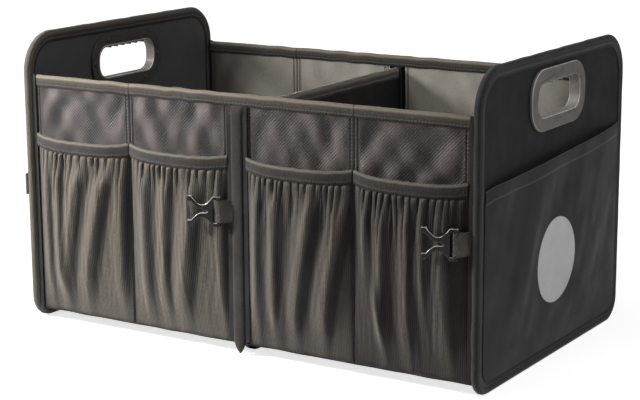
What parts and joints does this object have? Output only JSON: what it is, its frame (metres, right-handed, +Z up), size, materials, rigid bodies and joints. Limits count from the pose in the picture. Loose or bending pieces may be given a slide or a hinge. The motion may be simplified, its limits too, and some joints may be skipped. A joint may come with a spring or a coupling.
{
  "type": "folding storage box",
  "caption": "Folding cloth storage box for a car boot, with a divider, gathered front pockets, flat end pockets, grip holes and straps with side release buckles.",
  "frame": {"origin": "on the floor, under the middle of the divider", "axes": "+X along the front towards the end with the reflecting disc, +Y from the gathered pockets at the front to the back, +Z up"},
  "size_m": [0.6314, 0.3892, 0.346],
  "materials": {
    "wall_cloth": "coarse plain-woven nylon over stiff board, satin",
    "end_cloth": "near-black woven nylon over stiff board, faint sheen",
    "pocket_cloth": "finely ribbed stretch cloth, gathered",
    "edge_tape": "grosgrain binding tape",
    "webbing": "flat woven webbing",
    "base_cloth": "woven cloth over a thin stiff sheet",
    "grip_plastic": "satin moulded plastic",
    "buckle_plastic": "glossy moulded plastic",
    "reflector": "silver-grey retroreflecting film"
  },
  "bodies": {
    "centre": {"divider_panel": "end_cloth", "divider_top_tape": "edge_tape", "front_centre_seam": "edge_tape", "back_centre_seam": "edge_tape", "left_bottom_cloth": "wall_cloth", "right_bottom_cloth": "wall_cloth", "centre_strap": "webbing", "centre_buckle_plug": "buckle_plastic"},
    "front_left_inner": {"front_left_inner_wall": "wall_cloth", "front_left_inner_top_tape": "edge_tape", "left_inner_pocket": "pocket_cloth", "left_inner_pocket_hem": "edge_tape"},
    "front_left_outer": {"front_left_outer_wall": "wall_cloth", "front_left_outer_top_tape": "edge_tape", "left_outer_pocket": "pocket_cloth", "left_outer_pocket_hem": "edge_tape"},
    "left_end": {"left_end_panel": "end_cloth", "left_edge_tape": "edge_tape", "left_front_corner_seam": "edge_tape", "left_back_corner_seam": "edge_tape", "left_grip_frame": "grip_plastic", "left_grip_backing": "grip_plastic", "left_end_pocket": "end_cloth", "left_strap": "webbing", "left_buckle_socket": "buckle_plastic"},
    "back_left_inner": {"back_left_inner_wall": "wall_cloth", "back_left_inner_top_tape": "edge_tape"},
    "back_left_outer": {"back_left_outer_wall": "wall_cloth", "back_left_outer_top_tape": "edge_tape"},
    "left_mat": {"left_base_mat": "base_cloth"},
    "front_right_inner": {"front_right_inner_wall": "wall_cloth", "front_right_inner_top_tape": "edge_tape", "right_inner_pocket": "pocket_cloth", "right_inner_pocket_hem": "edge_tape"},
    "front_right_outer": {"front_right_outer_wall": "wall_cloth", "front_right_outer_top_tape": "edge_tape", "right_outer_pocket": "pocket_cloth", "right_outer_pocket_hem": "edge_tape"},
    "right_end": {"right_end_panel": "end_cloth", "right_edge_tape": "edge_tape", "right_front_corner_seam": "edge_tape", "right_back_corner_seam": "edge_tape", "right_grip_frame": "grip_plastic", "right_grip_backing": "grip_plastic", "right_end_pocket": "end_cloth", "reflecting_disc": "reflector", "right_strap": "webbing", "right_buckle_plug": "buckle_plastic"},
    "back_right_inner": {"back_right_inner_wall": "wall_cloth", "back_right_inner_top_tape": "edge_tape"},
    "back_right_outer": {"back_right_outer_wall": "wall_cloth", "back_right_outer_top_tape": "edge_tape"},
    "right_mat": {"right_base_mat": "base_cloth"}
  },
  "joints": [
    {"name": "fold_left", "type": "hinge", "parent": "centre", "child": "front_left_inner", "pos_m": [-0.0121, -0.1792, 0.15], "axis": [0, 0, -1], "range_deg": [0, 82], "deforming": ["left_bottom_cloth", "left_base_mat", "left_inner_pocket", "left_inner_pocket_hem", "left_outer_pocket", "left_outer_pocket_hem"]},
    {"name": "front_left_fold", "type": "hinge", "parent": "front_left_inner", "child": "front_left_outer", "pos_m": [-0.14885, -0.1792, 0.15], "axis": [0, 0, 1], "range_deg": [0, 164]},
    {"name": "front_left_corner", "type": "hinge", "parent": "front_left_outer", "child": "left_end", "pos_m": [-0.2856, -0.1792, 0.15], "axis": [0, 0, -1], "range_deg": [0, 82]},
    {"name": "back_left_hinge", "type": "hinge", "parent": "centre", "child": "back_left_inner", "pos_m": [-0.0121, 0.1792, 0.15], "axis": [0, 0, 1], "range_deg": [0, 82]},
    {"name": "back_left_fold", "type": "hinge", "parent": "back_left_inner", "child": "back_left_outer", "pos_m": [-0.14885, 0.1792, 0.15], "axis": [0, 0, -1], "range_deg": [0, 164]},
    {"name": "left_mat_lift", "type": "hinge", "parent": "centre", "child": "left_mat", "pos_m": [-0.007, 0, 0.015], "axis": [0, 1, 0], "range_deg": [0, 90]},
    {"name": "fold_right", "type": "hinge", "parent": "centre", "child": "front_right_inner", "pos_m": [0.0121, -0.1792, 0.15], "axis": [0, 0, 1], "range_deg": [0, 82], "deforming": ["right_bottom_cloth", "right_base_mat", "right_inner_pocket", "right_inner_pocket_hem", "right_outer_pocket", "right_outer_pocket_hem"]},
    {"name": "front_right_fold", "type": "hinge", "parent": "front_right_inner", "child": "front_right_outer", "pos_m": [0.14885, -0.1792, 0.15], "axis": [0, 0, -1], "range_deg": [0, 164]},
    {"name": "front_right_corner", "type": "hinge", "parent": "front_right_outer", "child": "right_end", "pos_m": [0.2856, -0.1792, 0.15], "axis": [0, 0, 1], "range_deg": [0, 82]},
    {"name": "back_right_hinge", "type": "hinge", "parent": "centre", "child": "back_right_inner", "pos_m": [0.0121, 0.1792, 0.15], "axis": [0, 0, -1], "range_deg": [0, 82]},
    {"name": "back_right_fold", "type": "hinge", "parent": "back_right_inner", "child": "back_right_outer", "pos_m": [0.14885, 0.1792, 0.15], "axis": [0, 0, 1], "range_deg": [0, 164]},
    {"name": "right_mat_lift", "type": "hinge", "parent": "centre", "child": "right_mat", "pos_m": [0.007, 0, 0.015], "axis": [0, -1, 0], "range_deg": [0, 90]}
  ],
  "couplings": [
    {"joint": "front_left_fold", "follows": "fold_left", "ratio": 2},
    {"joint": "front_left_corner", "follows": "fold_left", "ratio": 1},
    {"joint": "back_left_hinge", "follows": "fold_left", "ratio": 1},
    {"joint": "back_left_fold", "follows": "fold_left", "ratio": 2},
    {"joint": "left_mat_lift", "follows": "fold_left", "ratio": 1.0975},
    {"joint": "front_right_fold", "follows": "fold_right", "ratio": 2},
    {"joint": "front_right_corner", "follows": "fold_right", "ratio": 1},
    {"joint": "back_right_hinge", "follows": "fold_right", "ratio": 1},
    {"joint": "back_right_fold", "follows": "fold_right", "ratio": 2},
    {"joint": "right_mat_lift", "follows": "fold_right", "ratio": 1.0975}
  ]
}
